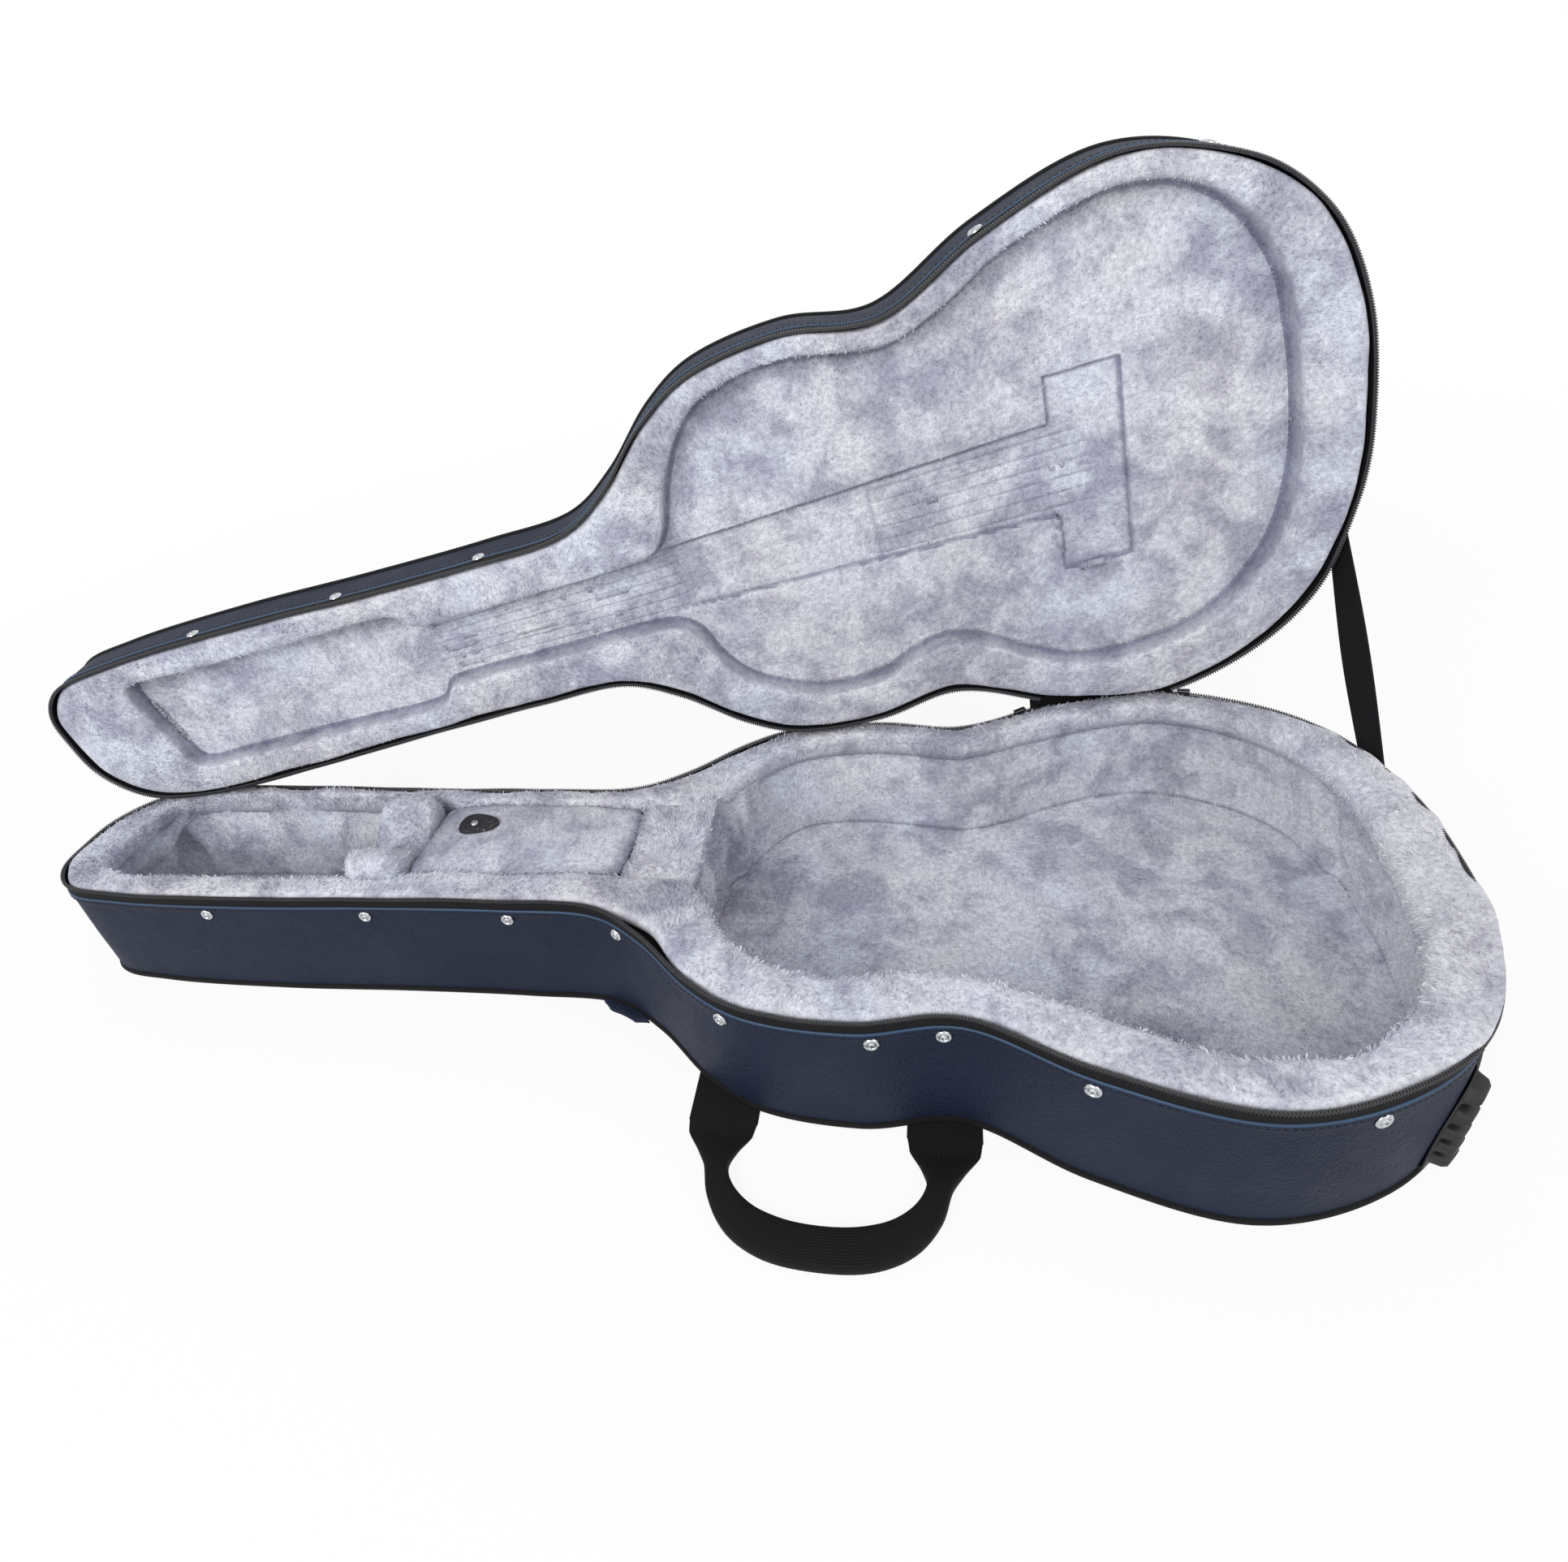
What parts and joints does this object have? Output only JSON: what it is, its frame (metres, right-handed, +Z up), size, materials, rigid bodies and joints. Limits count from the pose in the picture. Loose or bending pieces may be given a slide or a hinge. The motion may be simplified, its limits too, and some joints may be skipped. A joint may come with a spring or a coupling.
{
  "type": "classical guitar light case",
  "caption": "Guitar-shaped light carrying case, open: zipped foam shell with a folding handle, plush-lined recesses for body, neck and head, a covered accessory box and a strapped lid.",
  "frame": {"origin": "on the floor under the middle of the case's outside length, on the centre line of its base", "axes": "+X from the head end to the tail, +Y from the opening side to the hinge side, +Z up from the back that the case lies on"},
  "size_m": [1.0871, 0.4986, 0.5084],
  "materials": {
    "navy_leatherette": "satin",
    "grey_plush": "matte",
    "black_webbing": "matte",
    "black_zip": "satin",
    "shell_foam": "matte",
    "bright_steel": "polished",
    "black_rubber": "matte"
  },
  "bodies": {
    "base": {"back_cover": "navy_leatherette", "base_side_cover": "navy_leatherette", "base_foam_wall": "shell_foam", "base_foam_floor": "shell_foam", "base_binding": "black_webbing", "base_zip_tape": "black_zip", "base_zip_teeth": "black_zip", "rim_lining": "grey_plush", "body_wall_lining": "grey_plush", "body_floor_lining": "grey_plush", "head_wall_lining": "grey_plush", "head_floor_lining": "grey_plush", "heel_block": "grey_plush", "neck_rest": "grey_plush", "accessory_box": "grey_plush", "flap_hinge_tape": "black_webbing", "base_stud_1": "bright_steel", "base_stud_2": "bright_steel", "base_stud_3": "bright_steel", "base_stud_4": "bright_steel", "base_stud_5": "bright_steel", "base_stud_6": "bright_steel", "base_stud_7": "bright_steel", "base_stud_8": "bright_steel", "base_stud_9": "bright_steel", "tail_guard_near": "black_rubber", "tail_guard_far": "black_rubber", "handle_anchor_left": "black_webbing", "handle_anchor_right": "black_webbing", "hinge_tape": "black_webbing", "stay_strap": "black_webbing", "strap_anchor_base": "black_webbing", "zip_slider_front": "bright_steel", "zip_slider_rear": "bright_steel", "shoulder_tab": "navy_leatherette"},
    "lid": {"lid_side_cover": "navy_leatherette", "lid_front_cover": "navy_leatherette", "lid_binding": "black_webbing", "lid_zip_tape": "black_zip", "lid_zip_teeth": "black_zip", "lid_rim_lining": "grey_plush", "lid_foam_rim": "shell_foam", "lid_recess_lining": "grey_plush", "lid_foam_panel": "shell_foam", "lid_stud_1": "bright_steel", "lid_stud_2": "bright_steel", "lid_stud_3": "bright_steel", "lid_stud_4": "bright_steel", "lid_stud_5": "bright_steel", "strap_anchor_lid": "black_webbing"},
    "accessory_flap": {"accessory_flap": "grey_plush", "flap_pull_tab": "black_rubber", "flap_rivet": "bright_steel"},
    "carry_handle": {"carry_handle": "black_webbing"},
    "zip_puller_front": {"zip_puller_front": "bright_steel"},
    "zip_puller_rear": {"zip_puller_rear": "bright_steel"}
  },
  "joints": [
    {"name": "lid_hinge", "type": "hinge", "parent": "base", "child": "lid", "pos_m": [0.24122, 0.16844, 0.1244], "axis": [-0.9885, -0.1513, 0], "range_deg": [-90, 0], "deforming": ["hinge_tape", "stay_strap"]},
    {"name": "flap_hinge", "type": "hinge", "parent": "base", "child": "accessory_flap", "pos_m": [-0.0175, 0, 0.1056], "axis": [0, 1, 0], "range_deg": [0, 105]},
    {"name": "handle_fold", "type": "hinge", "parent": "base", "child": "carry_handle", "pos_m": [0.143, -0.1625, 0.0012], "axis": [-1, 0, 0], "range_deg": [0, 75]},
    {"name": "puller_front_hinge", "type": "hinge", "parent": "base", "child": "zip_puller_front", "pos_m": [0.27857, 0.1709, 0.1068], "axis": [0.9052, 0.4249, 0], "range_deg": [0, 80]},
    {"name": "puller_rear_hinge", "type": "hinge", "parent": "base", "child": "zip_puller_rear", "pos_m": [0.41095, 0.19386, 0.1068], "axis": [0.9791, -0.2034, 0], "range_deg": [0, 80]}
  ]
}
